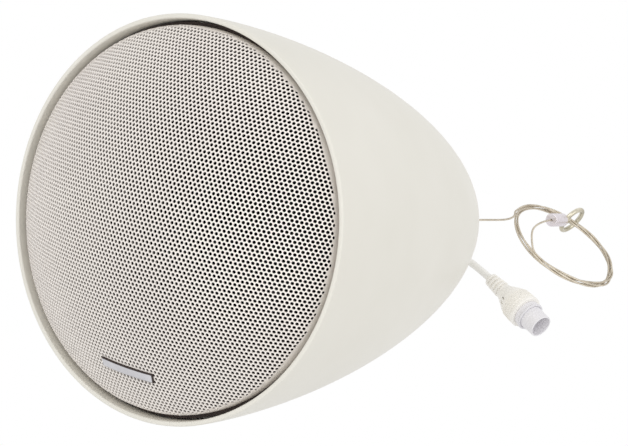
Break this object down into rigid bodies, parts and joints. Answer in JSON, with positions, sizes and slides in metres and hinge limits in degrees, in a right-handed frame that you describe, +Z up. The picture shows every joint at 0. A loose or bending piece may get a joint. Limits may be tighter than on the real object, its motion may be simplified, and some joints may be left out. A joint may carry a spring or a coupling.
{
  "type": "pendant speaker",
  "caption": "Bell-shaped hanging loudspeaker with a domed perforated grille facing down, a coiled steel suspension wire with hook ring and a short network cable.",
  "frame": {"origin": "centre of the hook ring that the speaker hangs by", "axes": "+Z up along the bell's axis, from the mouth to the hook ring; +X towards the side on which the cable's connector hangs"},
  "size_m": [0.23, 0.23, 0.5388],
  "materials": {
    "shell_plastic": "satin moulded",
    "grille_paint": "satin powder coat",
    "black_foam": "open cell",
    "badge_metal": "brushed",
    "dark_plastic": "matt",
    "seal_rubber": "matt",
    "plated_steel": "zinc plated",
    "basket_steel": "satin black",
    "ferrite": "matt",
    "copper_winding": "lacquered",
    "spider_cloth": "resin treated",
    "paper_cone": "pressed paper",
    "board_laminate": "solder mask",
    "brass": "turned",
    "transformer_core": "varnished",
    "can_sleeve": "sleeved",
    "black_aluminium": "anodised",
    "jack_plastic": "moulded",
    "gland_plastic": "moulded",
    "cable_jacket": "soft sheath",
    "connector_plastic": "moulded",
    "sleeve_plastic": "moulded",
    "pale_seal": "translucent",
    "bright_steel": "bright nickel",
    "wire_rope": "stranded"
  },
  "bodies": {
    "root": {"housing": "shell_plastic", "top_cap": "shell_plastic", "front_grille": "grille_paint", "grille_foam": "black_foam", "badge": "badge_metal", "baffle": "dark_plastic", "baffle_gasket": "seal_rubber", "baffle_screws": "plated_steel", "driver_screws": "plated_steel", "driver_basket": "basket_steel", "top_plate": "plated_steel", "magnet": "ferrite", "pole_and_back_plate": "plated_steel", "voice_coil": "copper_winding", "spider": "spider_cloth", "cone": "paper_cone", "dust_cap": "paper_cone", "surround": "seal_rubber", "circuit_board": "board_laminate", "board_standoffs": "brass", "board_screws": "plated_steel", "power_transformer": "transformer_core", "capacitors": "can_sleeve", "heat_sink": "black_aluminium", "board_chips": "dark_plastic", "board_jack": "jack_plastic", "hanger_bolt": "plated_steel", "hanger_washer": "plated_steel", "inner_washer": "plated_steel", "hanger_nut": "plated_steel", "wire_stop": "plated_steel", "gland_body": "gland_plastic", "gland_nut": "gland_plastic", "gland_cap": "gland_plastic", "gland_seal": "seal_rubber", "pigtail_cable": "cable_jacket", "network_lead": "cable_jacket", "connector_boot": "connector_plastic", "connector_body": "connector_plastic", "connector_sleeve": "sleeve_plastic", "connector_jack": "sleeve_plastic", "connector_seal": "pale_seal", "hook_ring": "bright_steel", "gripper": "bright_steel", "gripper_cap": "brass", "suspension_wire": "wire_rope", "wire_coil": "wire_rope", "wire_tail": "wire_rope"}
  },
  "joints": []
}
